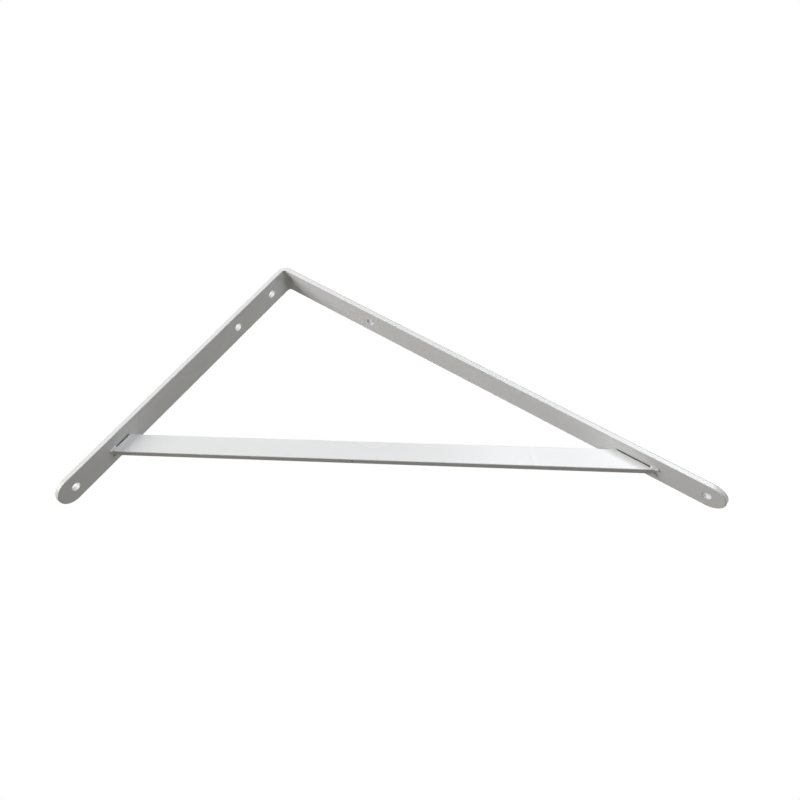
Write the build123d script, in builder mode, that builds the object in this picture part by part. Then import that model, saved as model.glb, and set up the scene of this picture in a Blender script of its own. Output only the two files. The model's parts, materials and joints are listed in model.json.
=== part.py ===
"""Welded shelf bracket: a flat bar bent to a right angle, with a diagonal brace welded inside it.

Frame, in millimetres: the wall face is the plane x = 0 with the wall on the -X side, the shelf arm
runs along +X with its shelf face upwards, and Y is across the bar. The origin is where the axis of the
top wall screw meets the wall face. Z points up.
"""

from build123d import *
from math import atan2, cos, isclose, sin
import os

# Flat bar of the bent strap
bar_width = 25.0
bar_thickness = 4.0
edge_radius = 0.6
inner_bend_radius = 3.0

# Arms, measured from the outer corner to their rounded ends
wall_arm_length = 272.0
shelf_arm_length = 414.0

# Screw holes: the upper ones are measured from the corner's two faces, the last one from each arm's end
screw_hole_radius = 3.5
top_wall_screw_drop = 25.0
second_wall_screw_drop = 69.5
last_wall_screw_rise = 16.0
first_shelf_screw_reach = 100.0
last_shelf_screw_setback = 14.0

# Brace: a narrower, thicker flat bar whose wide sides face across the bar, and whose tips stop short of the
# arms' ends by the two gaps
brace_width = 16.4
brace_thickness = 6.0
brace_edge_radius = 0.6
brace_to_wall_arm_end = 53.0
brace_to_shelf_arm_end = 50.5
brace_setback = 2.0

# Weld beads, as a row of round puddles along each seam
weld_leg = 2.6
weld_puddle_pitch = 3.5
tack_weld_length = 9.0

# Levels and places that follow from the sizes above
shelf_top = top_wall_screw_drop
shelf_underside = shelf_top - bar_thickness
wall_arm_end = shelf_top - wall_arm_length
outer_bend_radius = inner_bend_radius + bar_thickness

# The brace's lower edge runs between its two tips, in the X-Z plane
wall_tip = Vector(bar_thickness, 0, wall_arm_end + brace_to_wall_arm_end)
shelf_tip = Vector(shelf_arm_length - brace_to_shelf_arm_end, 0, shelf_underside)
brace_slope = atan2(shelf_tip.Z - wall_tip.Z, shelf_tip.X - wall_tip.X)

# Its mitred ends run up the wall arm and back along the shelf arm to the corners of its upper edge
wall_corner = wall_tip + Vector(0, 0, brace_width / cos(brace_slope))
shelf_corner = shelf_tip - Vector(brace_width / sin(brace_slope), 0, 0)

# The brace's faces across Y: its middle stands a little behind the middle of the bar
brace_front = brace_setback - brace_thickness / 2
brace_back = brace_setback + brace_thickness / 2


def is_arris(edge):
    """True for a long edge of the bent bar, and false for a seam across the bar or through it."""
    across = edge.bounding_box().size.Y > bar_width - 2 * edge_radius
    through = isclose(edge.length, bar_thickness, rel_tol=1e-6)
    round_end = edge.geom_type == GeomType.CIRCLE and isclose(edge.radius, bar_width / 2, rel_tol=1e-6)
    return round_end or not (across or through)


# The bent strap: an L-shaped section as wide as the bar, with both ends rounded to half circles
with BuildPart() as strap:
    with BuildSketch(Plane.XZ) as bend:
        with BuildLine():
            Polyline(
                (0, wall_arm_end),
                (0, shelf_top),
                (shelf_arm_length, shelf_top),
                (shelf_arm_length, shelf_underside),
                (bar_thickness, shelf_underside),
                (bar_thickness, wall_arm_end),
                close=True,
            )
        make_face()
        fillet(bend.vertices().sort_by_distance((0, shelf_top))[0], outer_bend_radius)
        fillet(bend.vertices().sort_by_distance((bar_thickness, shelf_underside))[0], inner_bend_radius)
    extrude(amount=bar_width / 2, both=True)

    with BuildSketch(Plane.YZ):
        with Locations((0, wall_arm_end + bar_width / 2)):
            Rectangle(bar_width, bar_width / 2, align=(Align.CENTER, Align.MAX))
            Circle(bar_width / 2, mode=Mode.SUBTRACT)
    extrude(amount=bar_thickness, mode=Mode.SUBTRACT)

    with BuildSketch(Plane.XY.offset(shelf_underside)):
        with Locations((shelf_arm_length - bar_width / 2, 0)):
            Rectangle(bar_width / 2, bar_width, align=(Align.MIN, Align.CENTER))
            Circle(bar_width / 2, mode=Mode.SUBTRACT)
    extrude(amount=bar_thickness, mode=Mode.SUBTRACT)

    fillet(strap.edges().filter_by(is_arris), edge_radius)

    with BuildSketch(Plane.YZ):
        with Locations(
            (0, shelf_top - top_wall_screw_drop),
            (0, shelf_top - second_wall_screw_drop),
            (0, wall_arm_end + last_wall_screw_rise),
        ):
            Circle(screw_hole_radius)
    extrude(amount=bar_thickness, mode=Mode.SUBTRACT)

    with BuildSketch(Plane.XY.offset(shelf_underside)):
        with Locations((first_shelf_screw_reach, 0), (shelf_arm_length - last_shelf_screw_setback, 0)):
            Circle(screw_hole_radius)
    extrude(amount=bar_thickness, mode=Mode.SUBTRACT)

# The brace: its ends are mitred to lie flat on the inner faces of both arms
with BuildPart() as brace:
    with BuildSketch(Plane.XZ.offset(-brace_front)):
        with BuildLine():
            Polyline(
                (wall_corner.X, wall_corner.Z),
                (shelf_corner.X, shelf_corner.Z),
                (shelf_tip.X, shelf_tip.Z),
                (wall_tip.X, wall_tip.Z),
                close=True,
            )
        make_face()
    extrude(amount=-brace_thickness)
    along = Axis((0, 0, 0), (cos(brace_slope), 0, sin(brace_slope)))
    fillet(brace.edges().filter_by(along), brace_edge_radius)

# Weld beads: short tacks at the tips on the front, and full seams on the back
front = Vector(0, brace_front, 0)
back = Vector(0, brace_back, 0)
up_the_wall_arm = Vector(0, 0, 1)
back_along_the_shelf_arm = Vector(-1, 0, 0)
wall_face_inwards = Plane(wall_tip, z_dir=(1, 0, 0))
shelf_face_inwards = Plane(shelf_tip, z_dir=(0, 0, -1))
wall_seam_length = (wall_corner - wall_tip).length
shelf_seam_length = (shelf_corner - shelf_tip).length
welds = {
    "wall_tack_weld": (wall_tip + front, up_the_wall_arm, tack_weld_length, wall_face_inwards),
    "shelf_tack_weld": (shelf_tip + front, back_along_the_shelf_arm, tack_weld_length, shelf_face_inwards),
    "wall_seam_weld": (wall_tip + back, up_the_wall_arm, wall_seam_length, wall_face_inwards),
    "shelf_seam_weld": (shelf_tip + back, back_along_the_shelf_arm, shelf_seam_length, shelf_face_inwards),
}

os.makedirs("parts", exist_ok=True)

strap.part.label = "strap"
export_step(strap.part, "parts/strap.step")

brace.part.label = "brace"
export_step(brace.part, "parts/brace.step")

for name, (tip, along_seam, seam_length, arm_face) in welds.items():
    puddles = max(1, round(seam_length / weld_puddle_pitch))
    pitch = seam_length / puddles
    brace_side = Plane(tip, z_dir=(0, tip.Y - brace_setback, 0))
    with BuildPart() as weld:
        with Locations(*[tip + along_seam * ((puddle + 0.5) * pitch) for puddle in range(puddles)]):
            Sphere(weld_leg)
        split(bisect_by=arm_face, keep=Keep.TOP)
        split(bisect_by=brace_side, keep=Keep.TOP)
    weld.part.label = name
    export_step(weld.part, f"parts/{name}.step")
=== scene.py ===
"""A welded shelf bracket in white powder coat.

Finishes for the bent strap and its brace, ripples for the weld beads, a pale floor under the
bracket, soft studio lamps and the camera. Lengths are in metres, in the bracket's own frame.
"""
import json
from math import pi, radians

import bpy
import numpy as np
from mathutils import Euler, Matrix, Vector


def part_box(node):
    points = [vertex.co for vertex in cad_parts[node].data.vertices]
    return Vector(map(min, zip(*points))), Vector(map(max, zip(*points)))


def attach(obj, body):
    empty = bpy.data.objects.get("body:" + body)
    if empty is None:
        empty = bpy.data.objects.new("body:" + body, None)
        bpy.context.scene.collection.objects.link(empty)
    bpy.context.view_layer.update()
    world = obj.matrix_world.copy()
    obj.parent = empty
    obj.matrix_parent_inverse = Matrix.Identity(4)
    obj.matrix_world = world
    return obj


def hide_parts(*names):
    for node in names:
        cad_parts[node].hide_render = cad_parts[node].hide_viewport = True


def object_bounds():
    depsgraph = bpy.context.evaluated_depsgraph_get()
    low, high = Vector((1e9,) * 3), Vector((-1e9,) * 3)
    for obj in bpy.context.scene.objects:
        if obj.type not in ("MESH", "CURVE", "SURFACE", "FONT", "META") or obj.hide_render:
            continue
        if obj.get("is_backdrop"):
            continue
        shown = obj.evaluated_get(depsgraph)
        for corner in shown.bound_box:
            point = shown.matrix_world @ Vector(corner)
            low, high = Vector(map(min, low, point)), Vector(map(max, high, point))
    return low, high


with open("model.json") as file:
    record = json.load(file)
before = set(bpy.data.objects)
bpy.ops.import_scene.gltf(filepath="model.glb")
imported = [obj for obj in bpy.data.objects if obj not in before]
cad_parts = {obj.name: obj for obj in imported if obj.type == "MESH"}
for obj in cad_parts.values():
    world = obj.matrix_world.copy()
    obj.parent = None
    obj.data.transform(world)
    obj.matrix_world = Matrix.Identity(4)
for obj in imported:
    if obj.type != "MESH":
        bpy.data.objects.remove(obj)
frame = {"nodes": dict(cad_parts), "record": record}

cad_low, cad_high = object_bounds()
nodes = frame["nodes"]
slots = {part["node"]: part["material_slot"] for part in frame["record"]["subparts"]}

# Where the strap and the brace are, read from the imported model
strap_low, strap_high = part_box("strap")
brace_low, brace_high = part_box("brace")
WALL_FACE_X = brace_low.x
SHELF_FACE_Z = brace_high.z
BAR_HALF_WIDTH = (strap_high.y - strap_low.y) / 2
centre = (cad_low + cad_high) / 2

# Colours and gloss of the powder coat
WHITE_PAINT = (0.86, 0.87, 0.88, 1.0)
# A greyer paint for the cloudy tone and the dust nibs, and for the painted shade along the strap's
# arrises
GREY_TONE_AND_SHADE = (0.70, 0.70, 0.68, 1.0)
# Grey of the painted shade on the strap's rounded outer arrises
ARRIS_SHADE_GREY = (0.40, 0.40, 0.41, 1.0)
# Near black, for the painted shade in the brace's joints and for the dark nick in its lower edge
JOINT_SHADE_AND_NICK_DARK = (0.03, 0.03, 0.035, 1.0)
PURE_WHITE = (1.0, 1.0, 1.0, 1.0)
GLOSS_ROUGHNESS = 0.20
DULL_ROUGHNESS = 0.34
PAINT_IOR = 1.5
RELIEF_STRENGTH = 0.5

# Texture of the powder coat. A scale counts features in a metre, and a fade goes from 0 to 1.
CLOUD_SCALE = 12.0
CLOUD_FADE = (0.22, 0.78)
PEEL_SCALE = 380.0
FINE_PEEL_SCALE = 640.0
FINE_PEEL_SHARE = 0.35
NIB_SCALE = 110.0
NIB_FADE = (0.10, 0.02)
NIB_PATCH_SCALE = 60.0
NIB_PATCH_FADE = (0.56, 0.64)
NIB_SHADE = 0.35

# Painted shade along the rounded arrises of the strap
EDGE_WIDTH = 0.0012
EDGE_NOISE_SCALE = 90.0
EDGE_LEAST_REACH = 0.3
EDGE_FADE = (1.0, 0.2)
WIDE_FACE_FADE = (0.00005, 0.00030)
ARRIS_SKIN_FADE = (0.0010, 0.0004)
ARRIS_SIDE_FADE = (0.0006, 0.0003)

# Painted shade: the dark line of shade where the brace meets an arm
JOINT_WIDTH = 0.0014
JOINT_NOISE_SCALE = 120.0
JOINT_LEAST_REACH = 0.5
JOINT_FADE = (1.0, 0.5)
BRACE_SIDE_FADE = (0.0009, 0.0003)

# How far each mark covers the paint under it
# The two strap marks and the brace's joint line are painted shade; the nick is a real mark
ARRIS_BAND_SHADE = 0.45
ARRIS_SHADE = 0.75
JOINT_SHADE = 0.95
NICK_SHADE = 0.55

NICK_PLACE = (0.1715, 0.0010, -0.0944)
NICK_RADIUS = 0.0016
NICK_CORE = 0.4

COLOUR, VALUE = "NodeSocketColor", "NodeSocketFloat"


# ------------------------------------------------------------------ node helpers
def add_node(tree, kind, inputs=None, **settings):
    """One shader node, with its settings and its inputs: plain values, or sockets to link."""
    node = tree.nodes.new(kind)
    for name, value in settings.items():
        setattr(node, name, value)
    for name, value in (inputs or {}).items():
        if isinstance(value, bpy.types.NodeSocket):
            tree.links.new(value, node.inputs[name])
        else:
            node.inputs[name].default_value = value
    return node


def arithmetic(tree, operation, first, second=0.0, third=0.0):
    """The result socket of one Math node."""
    inputs = {0: first, 1: second, 2: third}
    return add_node(tree, "ShaderNodeMath", inputs, operation=operation).outputs[0]


def ramp(tree, value, low, high, smooth=True):
    """0 where value is at low and 1 where it is at high, eased or straight between them."""
    kind = "SMOOTHSTEP" if smooth else "LINEAR"
    inputs = {"Value": value, "From Min": low, "From Max": high}
    node = add_node(tree, "ShaderNodeMapRange", inputs, interpolation_type=kind)
    return node.outputs["Result"]


def noise(tree, place, scale, detail):
    """The value of a noise texture, near 0.5 on average."""
    inputs = {"Vector": place, "Scale": scale, "Detail": detail}
    return add_node(tree, "ShaderNodeTexNoise", inputs).outputs[0]


def own_place(tree):
    """The point being shaded, in the piece's own frame."""
    return tree.nodes.new("ShaderNodeTexCoord").outputs["Object"]


def blend_colour(tree, share, first, second):
    """first where share is 0 and second where it is 1."""
    node = add_node(tree, "ShaderNodeMix", data_type="RGBA")
    pairs = ((node.inputs[0], share), (node.inputs[6], first), (node.inputs[7], second))
    for socket, value in pairs:
        if isinstance(value, bpy.types.NodeSocket):
            tree.links.new(value, socket)
        else:
            socket.default_value = value
    return node.outputs[2]


def new_group(name, inputs, outputs):
    """An empty shader node group with typed inputs, each with a default, and typed outputs."""
    group = bpy.data.node_groups.new(name, "ShaderNodeTree")
    for label, kind, default in inputs:
        socket = group.interface.new_socket(label, in_out="INPUT", socket_type=kind)
        socket.default_value = default
    for label, kind in outputs:
        group.interface.new_socket(label, in_out="OUTPUT", socket_type=kind)
    return group, group.nodes.new("NodeGroupInput"), group.nodes.new("NodeGroupOutput")


# ------------------------------------------------------------------ shared finishes
def make_powder_coat():
    """Cured powder coat: two sizes of orange peel, sparse dust nibs, a cloudy tone and gloss.

    Cloud, Peel and Nibs say how much of each a piece has.
    """
    group, given, result = new_group(
        "powder_coat",
        [
            ("Paint", COLOUR, WHITE_PAINT),
            ("Cloud", VALUE, 0.35),
            ("Peel", VALUE, 1.0),
            ("Nibs", VALUE, 1.0),
        ],
        [("Color", COLOUR), ("Roughness", VALUE), ("Height", VALUE)],
    )
    place = own_place(group)
    cloud = noise(group, place, CLOUD_SCALE, 0.0)
    coarse = noise(group, place, PEEL_SCALE, 0.0)
    fine = noise(group, place, FINE_PEEL_SCALE, 0.0)
    dust = add_node(group, "ShaderNodeTexVoronoi", {"Vector": place, "Scale": NIB_SCALE})
    in_patch = ramp(group, noise(group, place, NIB_PATCH_SCALE, 2.0), *NIB_PATCH_FADE)
    nib = arithmetic(
        group, "MULTIPLY", ramp(group, dust.outputs["Distance"], *NIB_FADE), in_patch
    )
    nib = arithmetic(group, "MULTIPLY", nib, given.outputs["Nibs"])

    cloudy = ramp(group, cloud, *CLOUD_FADE, smooth=False)
    tone = arithmetic(group, "MULTIPLY", cloudy, given.outputs["Cloud"])
    tint = blend_colour(group, tone, given.outputs["Paint"], GREY_TONE_AND_SHADE)
    nib_share = arithmetic(group, "MULTIPLY", nib, NIB_SHADE)
    specked = blend_colour(group, nib_share, tint, GREY_TONE_AND_SHADE)
    duller = DULL_ROUGHNESS - GLOSS_ROUGHNESS
    gloss = arithmetic(group, "MULTIPLY_ADD", cloudy, duller, GLOSS_ROUGHNESS)
    peel = arithmetic(group, "MULTIPLY_ADD", fine, FINE_PEEL_SHARE, coarse)
    relief = arithmetic(group, "MULTIPLY_ADD", peel, given.outputs["Peel"], nib)

    group.links.new(specked, result.inputs["Color"])
    group.links.new(gloss, result.inputs["Roughness"])
    group.links.new(relief, result.inputs["Height"])
    return group


def make_painted_arris_shade():
    """Painted shade along the rounded arrises of the strap, where they turn away from the light.

    Mask is 1 on the wide faces within Width of the sides at plus and minus Half. Outer is 1 on
    the rounded arrises between those sides and the outer faces of the bend.
    """
    group, given, result = new_group(
        "painted_arris_shade",
        [("Half", VALUE, BAR_HALF_WIDTH), ("Width", VALUE, EDGE_WIDTH)],
        [("Mask", VALUE), ("Outer", VALUE)],
    )
    place = own_place(group)
    split = add_node(group, "ShaderNodeSeparateXYZ", {0: place})
    across = arithmetic(group, "ABSOLUTE", split.outputs["Y"])
    from_side = arithmetic(group, "SUBTRACT", given.outputs["Half"], across)

    uneven = noise(group, place, EDGE_NOISE_SCALE, 3.0)
    uneven = arithmetic(group, "ADD", uneven, EDGE_LEAST_REACH)
    reach = arithmetic(group, "MULTIPLY", given.outputs["Width"], uneven)
    near = ramp(group, arithmetic(group, "DIVIDE", from_side, reach), *EDGE_FADE)
    mask = arithmetic(group, "MULTIPLY", near, ramp(group, from_side, *WIDE_FACE_FADE))
    group.links.new(mask, result.inputs["Mask"])

    from_back = arithmetic(group, "SUBTRACT", split.outputs["X"], strap_low.x)
    from_top = arithmetic(group, "SUBTRACT", strap_high.z, split.outputs["Z"])
    near_skin = ramp(group, arithmetic(group, "MINIMUM", from_back, from_top), *ARRIS_SKIN_FADE)
    near_side = ramp(group, from_side, *ARRIS_SIDE_FADE)
    outer = arithmetic(group, "MULTIPLY", near_skin, near_side)
    group.links.new(outer, result.inputs["Outer"])
    return group


def make_joint_shade_line():
    """Painted shade: the dark line of shade where a wide side of the brace butts against an arm.

    Mask is 1 on the wide sides within Width of the wall arm or the shelf arm.
    """
    group, given, result = new_group(
        "joint_shade_line", [("Width", VALUE, JOINT_WIDTH)], [("Mask", VALUE)]
    )
    place = own_place(group)
    split = add_node(group, "ShaderNodeSeparateXYZ", {0: place})
    from_wall = arithmetic(group, "SUBTRACT", split.outputs["X"], WALL_FACE_X)
    from_shelf = arithmetic(group, "SUBTRACT", SHELF_FACE_Z, split.outputs["Z"])
    gap = arithmetic(group, "MINIMUM", from_wall, from_shelf)
    uneven = noise(group, place, JOINT_NOISE_SCALE, 1.0)
    uneven = arithmetic(group, "ADD", uneven, JOINT_LEAST_REACH)
    reach = arithmetic(group, "MULTIPLY", given.outputs["Width"], uneven)
    near = ramp(group, arithmetic(group, "DIVIDE", gap, reach), *JOINT_FADE)

    from_front = arithmetic(group, "SUBTRACT", split.outputs["Y"], brace_low.y)
    from_rear = arithmetic(group, "SUBTRACT", brace_high.y, split.outputs["Y"])
    from_side = arithmetic(group, "MINIMUM", from_front, from_rear)
    on_side = ramp(group, from_side, *BRACE_SIDE_FADE)
    mask = arithmetic(group, "MULTIPLY", near, on_side)
    group.links.new(mask, result.inputs["Mask"])
    return group


powder_coat = make_powder_coat()
painted_arris_shade = make_painted_arris_shade()
joint_shade_line = make_joint_shade_line()


def painted_steel(name, cloud, peel, nibs, relief_depth):
    """A material of powder-coated steel, with its tree and shader for the marks of one piece."""
    material = bpy.data.materials.new(name)
    material.use_nodes = True
    tree = material.node_tree
    shader = tree.nodes["Principled BSDF"]
    amounts = {"Paint": WHITE_PAINT, "Cloud": cloud, "Peel": peel, "Nibs": nibs}
    coat = add_node(tree, "ShaderNodeGroup", node_tree=powder_coat)
    for label, value in amounts.items():
        coat.inputs[label].default_value = value
    relief = {
        "Height": coat.outputs["Height"],
        "Strength": RELIEF_STRENGTH,
        "Distance": relief_depth,
    }
    bump = add_node(tree, "ShaderNodeBump", relief)
    tree.links.new(coat.outputs["Color"], shader.inputs["Base Color"])
    tree.links.new(coat.outputs["Roughness"], shader.inputs["Roughness"])
    tree.links.new(bump.outputs["Normal"], shader.inputs["Normal"])
    shader.inputs["IOR"].default_value = PAINT_IOR
    return material, tree, shader


def add_mark(tree, shader, mask, colour, strength):
    """Lays a colour over what already feeds Base Color, where mask is 1."""
    below = shader.inputs["Base Color"].links[0].from_socket
    share = arithmetic(tree, "MULTIPLY", mask, strength)
    tree.links.new(blend_colour(tree, share, below, colour), shader.inputs["Base Color"])


def strap_paint():
    """Powder coat of the bent strap, with painted shade along its arrises."""
    material, tree, shader = painted_steel(
        "strap_powder_coat", cloud=0.30, peel=1.0, nibs=1.0, relief_depth=0.00006
    )
    # Painted shade: a greyer band along the strap's arrises, and grey on its outer arrises
    edge = add_node(tree, "ShaderNodeGroup", node_tree=painted_arris_shade)
    add_mark(tree, shader, edge.outputs["Mask"], GREY_TONE_AND_SHADE, ARRIS_BAND_SHADE)
    add_mark(tree, shader, edge.outputs["Outer"], ARRIS_SHADE_GREY, ARRIS_SHADE)
    return material


def brace_paint():
    """Powder coat of the brace, with painted shade in the joints at its ends and a nick in its
    lower edge.
    """
    material, tree, shader = painted_steel(
        "brace_powder_coat", cloud=0.18, peel=0.8, nibs=0.8, relief_depth=0.00005
    )
    # Painted shade in the joints where the brace meets the arms
    line = add_node(tree, "ShaderNodeGroup", node_tree=joint_shade_line)
    add_mark(tree, shader, line.outputs["Mask"], JOINT_SHADE_AND_NICK_DARK, JOINT_SHADE)
    away = add_node(
        tree, "ShaderNodeVectorMath", {0: own_place(tree), 1: NICK_PLACE}, operation="DISTANCE"
    )
    nick = ramp(tree, away.outputs["Value"], NICK_RADIUS, NICK_RADIUS * NICK_CORE)
    add_mark(tree, shader, nick, JOINT_SHADE_AND_NICK_DARK, NICK_SHADE)
    return material


def weld_paint():
    """Powder coat over the weld beads, heavier and cloudier than on the bars."""
    material, _, _ = painted_steel(
        "weld_powder_coat", cloud=0.45, peel=1.4, nibs=1.2, relief_depth=0.00010
    )
    return material


finishes = {
    "strap_paint": strap_paint(),
    "brace_paint": brace_paint(),
    "weld_paint": weld_paint(),
}
for name, piece in nodes.items():
    piece.data.materials.clear()
    piece.data.materials.append(finishes[slots[name]])


# ------------------------------------------------------------------ weld beads
BEAD_STEPS = 121
PROFILE_STEPS = 17
END_POWER = 6
RIPPLES_PER_METRE = 620.0
RIPPLE_DEPTH = 0.10
RIPPLE_BOW = 0.9
WANDER_DEPTH = 0.05
WANDER_ALONG = 9.0
WANDER_AROUND = 2.0

# The two tacks at the front are shorter and lighter than the CAD beads that they stand for
TACK_SHARE = 0.65
TACK_RUN = 0.60
UP, DOWN, OUT, BACK_ALONG = (0, 0, 1), (0, 0, -1), (1, 0, 0), (-1, 0, 0)
FORWARD, REARWARD = (0, -1, 0), (0, 1, 0)


def ring_faces(count, around):
    """Faces of a closed tube: quads between count rings of around points, and a fan at each end.

    The two end points come after the rings.
    """
    i, j = np.meshgrid(np.arange(count - 1), np.arange(around), indexing="ij")
    k = (j + 1) % around
    corners = [i * around + j, (i + 1) * around + j, (i + 1) * around + k, i * around + k]
    quads = np.stack(corners, -1).reshape(-1, 4)
    ring = np.arange(around)
    following = (ring + 1) % around
    last_ring = (count - 1) * around
    first_end, last_end = np.full(around, count * around), np.full(around, count * around + 1)
    first_fan = np.stack([first_end, ring, following], -1)
    last_fan = np.stack([last_end, last_ring + following, last_ring + ring], -1)
    return quads.tolist() + first_fan.tolist() + last_fan.tolist()


def signed_volume(mesh):
    """The enclosed volume, from tetrahedra between each triangle and the origin.

    It is negative where the mesh is inside out.
    """
    mesh.calc_loop_triangles()
    corners = np.empty(len(mesh.loop_triangles) * 3, np.int32)
    mesh.loop_triangles.foreach_get("vertices", corners)
    places = np.empty(len(mesh.vertices) * 3, np.float32)
    mesh.vertices.foreach_get("co", places)
    p = places.reshape(-1, 3).astype(float)[corners.reshape(-1, 3)]
    return float(np.einsum("ij,ij->i", p[:, 0], np.cross(p[:, 1], p[:, 2])).sum() / 6.0)


def weld_bead(name, start, along, off_arm, off_brace, length, leg):
    """A fillet weld laid in the corner between an arm and the brace.

    With s from 0 to 1 along the seam and a from 0 to a quarter turn round the corner line, a
    point lies at start + along * length * s + r(s, a) * (off_arm * sin a + off_brace * cos a),
    where r = leg * size * wander * (1 - RIPPLE_DEPTH * wave).
    size = (1 - |2 s - 1| ** END_POWER) ** 0.5, so both ends close to a point.
    wander = 1 + WANDER_DEPTH * sin(WANDER_ALONG * s + WANDER_AROUND * a).
    wave = 1 - (1 - (2 lap - 1) ** 2) ** 0.5, where lap is the part after the point of
    s * length * RIPPLES_PER_METRE - RIPPLE_BOW * sin 2 a, so its crests bow forward in the
    middle of the bead, as each puddle laps over the last one.
    """
    s = np.linspace(0.0, 1.0, BEAD_STEPS)
    a = np.linspace(0.0, pi / 2, PROFILE_STEPS)
    S, A = np.meshgrid(s, a, indexing="ij")
    size = np.sqrt(np.clip(1.0 - np.abs(2.0 * S - 1.0) ** END_POWER, 0.0, 1.0))
    phase = S * length * RIPPLES_PER_METRE - RIPPLE_BOW * np.sin(2.0 * A)
    lap = phase - np.floor(phase)
    wave = 1.0 - np.sqrt(np.clip(1.0 - (2.0 * lap - 1.0) ** 2, 0.0, 1.0))
    wander = 1.0 + WANDER_DEPTH * np.sin(WANDER_ALONG * S + WANDER_AROUND * A)
    radius = leg * size * wander * (1.0 - RIPPLE_DEPTH * wave)

    along, off_arm, off_brace = (np.array(v, float) for v in (along, off_arm, off_brace))
    spine = np.array(start, float) + S[:, :1, None] * length * along
    turned = np.sin(A)[..., None] * off_arm + np.cos(A)[..., None] * off_brace
    shell = spine + radius[..., None] * turned
    rings = np.concatenate([shell, spine], axis=1)[1:-1]
    points = np.concatenate([rings.reshape(-1, 3), spine[[0, -1], 0]])

    mesh = bpy.data.meshes.new(name)
    mesh.from_pydata(points.tolist(), [], ring_faces(*rings.shape[:2]))
    if signed_volume(mesh) < 0:
        mesh.flip_normals()
    mesh.polygons.foreach_set("use_smooth", np.ones(len(mesh.polygons), bool))
    mesh.update()
    bead = bpy.data.objects.new(name, mesh)
    bpy.context.scene.collection.objects.link(bead)
    return bead


for node_name in ("wall_tack_weld", "shelf_tack_weld", "wall_seam_weld", "shelf_seam_weld"):
    low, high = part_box(node_name)
    on_wall = node_name.startswith("wall")
    to_front = (low.y + high.y) / 2 < (brace_low.y + brace_high.y) / 2
    side = brace_low.y if to_front else brace_high.y
    off_brace = FORWARD if to_front else REARWARD
    leg = (high.x - low.x) if on_wall else (high.z - low.z)
    run = (high.z - low.z) if on_wall else (high.x - low.x)
    if to_front:
        leg, run = leg * TACK_SHARE, run * TACK_RUN
    if on_wall:
        start, along, off_arm = (WALL_FACE_X, side, low.z), UP, OUT
    else:
        start, along, off_arm = (high.x, side, SHELF_FACE_Z), BACK_ALONG, DOWN
    bead = weld_bead(node_name + "_bead", start, along, off_arm, off_brace, run, leg)
    bead.data.materials.append(finishes["weld_paint"])
    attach(bead, "root")
    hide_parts(node_name)


# ------------------------------------------------------------------ floor
FLOOR_SIZE = 60.0
FLOOR_WHITE = (0.92, 0.92, 0.92, 1.0)
# The camera sees this share of the floor as plain white near the bracket, and all of it far away
FLOOR_GLOW = 0.8
GLOW_FADE = (0.8, 5.0)


def make_floor():
    """A square plane at the bracket's lowest point."""
    half = FLOOR_SIZE / 2
    turns = ((-1, -1), (1, -1), (1, 1), (-1, 1))
    corners = [(centre.x + half * u, half * v, cad_low.z) for u, v in turns]
    mesh = bpy.data.meshes.new("floor")
    mesh.from_pydata(corners, [], [(0, 1, 2, 3)])
    floor = bpy.data.objects.new("floor", mesh)
    bpy.context.scene.collection.objects.link(floor)
    floor.visible_diffuse = False
    floor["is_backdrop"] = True
    return floor


def floor_finish():
    """Pale matt floor, seen from above only, that lets the lamps under it shine through."""
    material = bpy.data.materials.new("pale_floor")
    material.use_nodes = True
    tree = material.node_tree
    tree.nodes.clear()
    matt = add_node(tree, "ShaderNodeBsdfDiffuse", {"Color": FLOOR_WHITE})
    glow = add_node(tree, "ShaderNodeEmission", {"Color": PURE_WHITE, "Strength": 1.0})
    clear = add_node(tree, "ShaderNodeBsdfTransparent")
    ray = tree.nodes.new("ShaderNodeLightPath")

    away = add_node(tree, "ShaderNodeVectorMath", {0: own_place(tree)}, operation="LENGTH")
    far = ramp(tree, away.outputs["Value"], *GLOW_FADE)
    share = arithmetic(tree, "MULTIPLY_ADD", far, 1.0 - FLOOR_GLOW, FLOOR_GLOW)
    seen = arithmetic(tree, "MULTIPLY", ray.outputs["Is Camera Ray"], share)
    top_inputs = {0: seen, 1: matt.outputs[0], 2: glow.outputs[0]}
    top = add_node(tree, "ShaderNodeMixShader", top_inputs)

    under = tree.nodes.new("ShaderNodeNewGeometry").outputs["Backfacing"]
    see_through = arithmetic(tree, "MAXIMUM", under, ray.outputs["Is Shadow Ray"])
    whole_inputs = {0: see_through, 1: top.outputs[0], 2: clear.outputs[0]}
    whole = add_node(tree, "ShaderNodeMixShader", whole_inputs)
    end = tree.nodes.new("ShaderNodeOutputMaterial")
    tree.links.new(whole.outputs[0], end.inputs["Surface"])
    return material


make_floor().data.materials.append(floor_finish())

# ------------------------------------------------------------------ lamps
# Name: place, what it points at, size, power in watts, colour
LAMPS = {
    "key": ((0.22, -1.05, 0.40), (0.26, 0.0, -0.05), 0.60, 6.1, (0.92, 0.96, 1.0)),
    "low_fill": ((-1.60, -1.15, -1.15), (0.20, 0.0, -0.05), 1.50, 50.0, (1.0, 0.985, 0.965)),
    "room_side": ((1.30, -0.60, 0.10), (0.00, 0.0, -0.10), 0.80, 1.5, (1.0, 0.93, 0.82)),
    "back": ((-0.30, 1.30, 0.50), (0.20, 0.0, -0.10), 1.00, 11.0, (1.0, 1.0, 1.0)),
    "top": ((0.30, 0.20, 1.40), (0.20, 0.0, -0.10), 1.00, 2.2, (1.0, 1.0, 1.0)),
    "wall_side": ((-1.20, -0.20, 0.30), (0.00, 0.0, -0.10), 0.80, 1.5, (1.0, 1.0, 1.0)),
}
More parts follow.
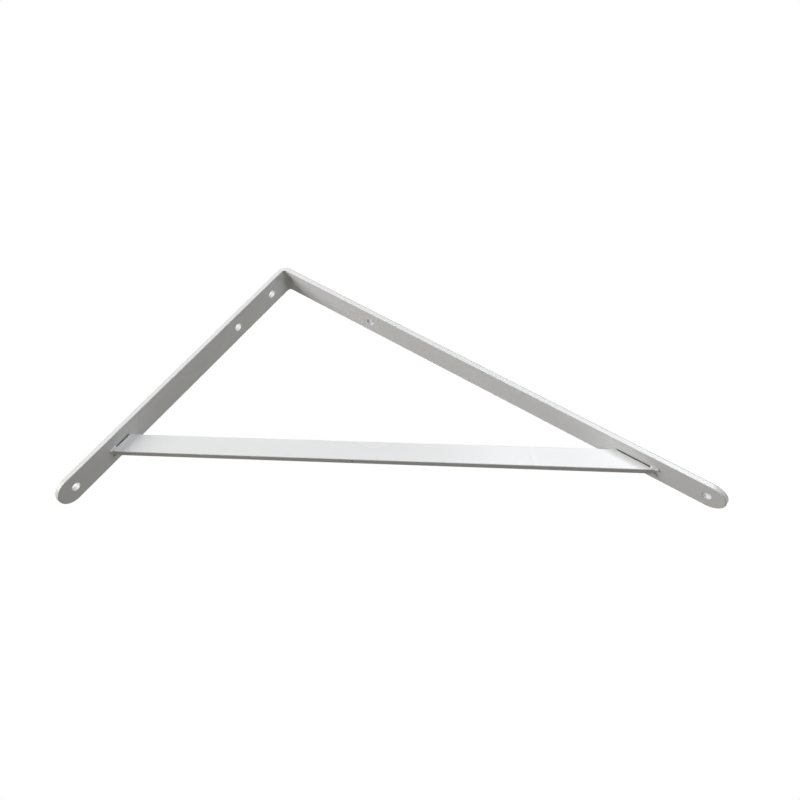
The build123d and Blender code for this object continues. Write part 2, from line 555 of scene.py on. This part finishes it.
for name, (place, aim, size, power, colour) in LAMPS.items():
    lamp = bpy.data.lights.new(name, "AREA")
    lamp.size, lamp.energy, lamp.color = size, power, colour
    holder = bpy.data.objects.new(name, lamp)
    holder.location = place
    holder.rotation_euler = (Vector(aim) - Vector(place)).to_track_quat("-Z", "Y").to_euler()
    holder.visible_camera = False
    bpy.context.scene.collection.objects.link(holder)

# ------------------------------------------------------------------ surroundings
# A dim warm room lights the bracket, and the camera and reflections see plain white
ROOM_LIGHT = (1.0, 0.95, 0.84, 1.0)
ROOM_STRENGTH = 0.10
world = bpy.data.worlds.new("studio")
bpy.context.scene.world = world
world.use_nodes = True
sky = world.node_tree
sky.nodes.clear()
ray = sky.nodes.new("ShaderNodeLightPath")
seen = arithmetic(sky, "MAXIMUM", ray.outputs["Is Camera Ray"], ray.outputs["Is Glossy Ray"])
seen = arithmetic(sky, "MAXIMUM", seen, ray.outputs["Is Transmission Ray"])
room = add_node(sky, "ShaderNodeBackground", {"Color": ROOM_LIGHT, "Strength": ROOM_STRENGTH})
white = add_node(sky, "ShaderNodeBackground", {"Color": PURE_WHITE, "Strength": 1.0})
mixed = add_node(sky, "ShaderNodeMixShader", {0: seen, 1: room.outputs[0], 2: white.outputs[0]})
end = sky.nodes.new("ShaderNodeOutputWorld")
sky.links.new(mixed.outputs[0], end.inputs["Surface"])

# ------------------------------------------------------------------ camera
CAMERA_PLACE = (0.41050, -0.49846, -0.27059)
CAMERA_TURN = (119.5956, -36.1542, 7.2736)
CAMERA_LENS = 34.2
SENSOR_WIDTH = 36.0
NEAREST_SEEN = 0.01
camera = bpy.data.objects.new("camera", bpy.data.cameras.new("camera"))
camera.data.lens = CAMERA_LENS
camera.data.sensor_width = SENSOR_WIDTH
camera.data.clip_start = NEAREST_SEEN
camera.location = CAMERA_PLACE
camera.rotation_euler = Euler([radians(turn) for turn in CAMERA_TURN], "XYZ")
bpy.context.scene.collection.objects.link(camera)
bpy.context.scene.camera = camera
bpy.context.scene.view_settings.view_transform = "Standard"

bpy.context.view_layer.update()
low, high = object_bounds()
